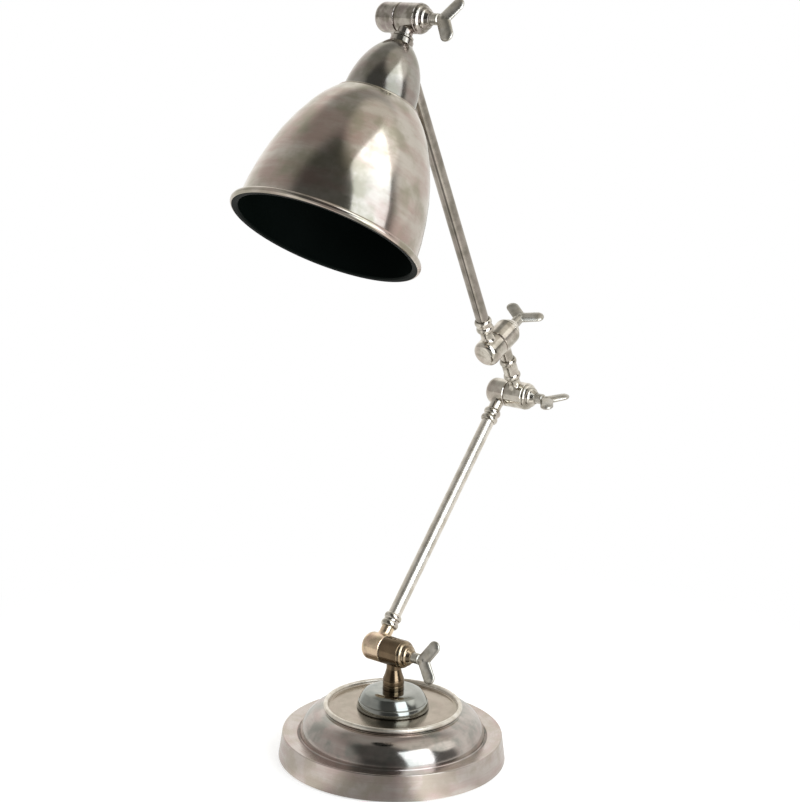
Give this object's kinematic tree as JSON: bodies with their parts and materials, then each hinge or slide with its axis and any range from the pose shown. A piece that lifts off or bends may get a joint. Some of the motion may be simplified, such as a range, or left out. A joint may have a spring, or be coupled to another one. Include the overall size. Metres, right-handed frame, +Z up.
{
  "type": "tabletop searchlight lamp",
  "caption": "Table lamp with a weighted round foot, tube arms on friction hinges with wing screws, and a spun bell shade.",
  "frame": {"origin": "centre of the foot's flat underside, where it rests on the table", "axes": "+Z up, +X along the base hinge's pin towards its wing screw, +Y to the back; the shade looks towards -Y"},
  "size_m": [0.17, 0.326, 0.5588],
  "materials": {
    "spun_silver": "spun, antique silver patina, brushed around",
    "polished_silver": "polished antique silver",
    "dark_silver": "dark bronzed silver, glossy",
    "cast_silver": "turned, antique silver",
    "wing_silver": "cast, satin antique silver",
    "tube_silver": "drawn tube, antique silver",
    "collar_silver": "turned, antique silver",
    "fibre": "pressed fibre",
    "cast_iron": "raw casting",
    "zinc_steel": "zinc plated",
    "felt": "black felt",
    "black_rubber": "matte",
    "black_plastic": "moulded",
    "brass": "pressed",
    "bulb_metal": "rolled thread",
    "bulb_glass": "frosted"
  },
  "bodies": {
    "base": {"base_shell": "spun_silver", "base_weight": "cast_iron", "floor_plate": "zinc_steel", "felt_pad": "felt", "plate_screws": "zinc_steel", "stem_rod": "zinc_steel", "rod_washer": "zinc_steel", "rod_nut": "zinc_steel", "cord_gland": "black_rubber", "base_bun": "polished_silver", "stem": "dark_silver", "base_knuckle": "dark_silver", "base_friction_ring": "fibre", "base_nose_washer": "dark_silver"},
    "lower_arm": {"lower_arm_bottom_knuckle": "cast_silver", "lower_arm_bottom_collar": "collar_silver", "lower_arm_tube": "tube_silver", "lower_arm_top_collar": "collar_silver", "lower_arm_top_knuckle": "cast_silver"},
    "link": {"link_lower_knuckle": "cast_silver", "link_collar": "collar_silver", "link_upper_knuckle": "cast_silver", "elbow_friction_ring": "fibre", "elbow_nose_washer": "cast_silver", "twist_friction_ring": "fibre", "twist_nose_washer": "cast_silver"},
    "upper_arm": {"upper_arm_bottom_knuckle": "cast_silver", "upper_arm_bottom_collar": "collar_silver", "upper_arm_tube": "tube_silver", "upper_arm_top_collar": "collar_silver", "upper_arm_top_knuckle": "cast_silver"},
    "head": {"head_knuckle": "cast_silver", "head_friction_ring": "fibre", "head_nose_washer": "cast_silver", "head_nipple": "zinc_steel", "head_collar": "polished_silver", "head_lock_nut": "zinc_steel", "head_cap": "spun_silver", "shade": "spun_silver", "lampholder": "black_plastic", "shade_ring": "black_plastic", "socket_sleeve": "brass", "centre_contact": "brass", "bulb_cap": "bulb_metal", "bulb_glass": "bulb_glass"},
    "base_screw": {"base_wing_screw": "wing_silver"},
    "elbow_screw": {"elbow_wing_screw": "wing_silver"},
    "twist_screw": {"twist_wing_screw": "wing_silver"},
    "head_screw": {"head_wing_screw": "wing_silver"}
  },
  "joints": [
    {"name": "base_hinge", "type": "hinge", "parent": "base", "child": "lower_arm", "pos_m": [-0.0074, 0, 0.0822], "axis": [1, 0, 0], "range_deg": [-30, 60]},
    {"name": "elbow_hinge", "type": "hinge", "parent": "lower_arm", "child": "link", "pos_m": [-0.0074, 0.14925, 0.2539], "axis": [1, 0, 0], "range_deg": [-68, 50]},
    {"name": "twist_hinge", "type": "hinge", "parent": "link", "child": "upper_arm", "pos_m": [0, 0.11745, 0.29938], "axis": [0, 0.8886, 0.4587], "range_deg": [-90, 90]},
    {"name": "head_hinge", "type": "hinge", "parent": "upper_arm", "child": "head", "pos_m": [0.0074, -0.01736, 0.54444], "axis": [1, 0, 0], "range_deg": [-90, 27]},
    {"name": "base_screw_turn", "type": "hinge", "parent": "base", "child": "base_screw", "pos_m": [-0.0074, 0, 0.0822], "axis": [1, 0, 0], "range_deg": [0, 270]},
    {"name": "elbow_screw_turn", "type": "hinge", "parent": "link", "child": "elbow_screw", "pos_m": [-0.0074, 0.14925, 0.2539], "axis": [1, 0, 0], "range_deg": [0, 270]},
    {"name": "twist_screw_turn", "type": "hinge", "parent": "link", "child": "twist_screw", "pos_m": [0, 0.11745, 0.29938], "axis": [0, 0.8886, 0.4587], "range_deg": [0, 270]},
    {"name": "head_screw_turn", "type": "hinge", "parent": "head", "child": "head_screw", "pos_m": [0.0074, -0.01736, 0.54444], "axis": [1, 0, 0], "range_deg": [0, 270]}
  ]
}
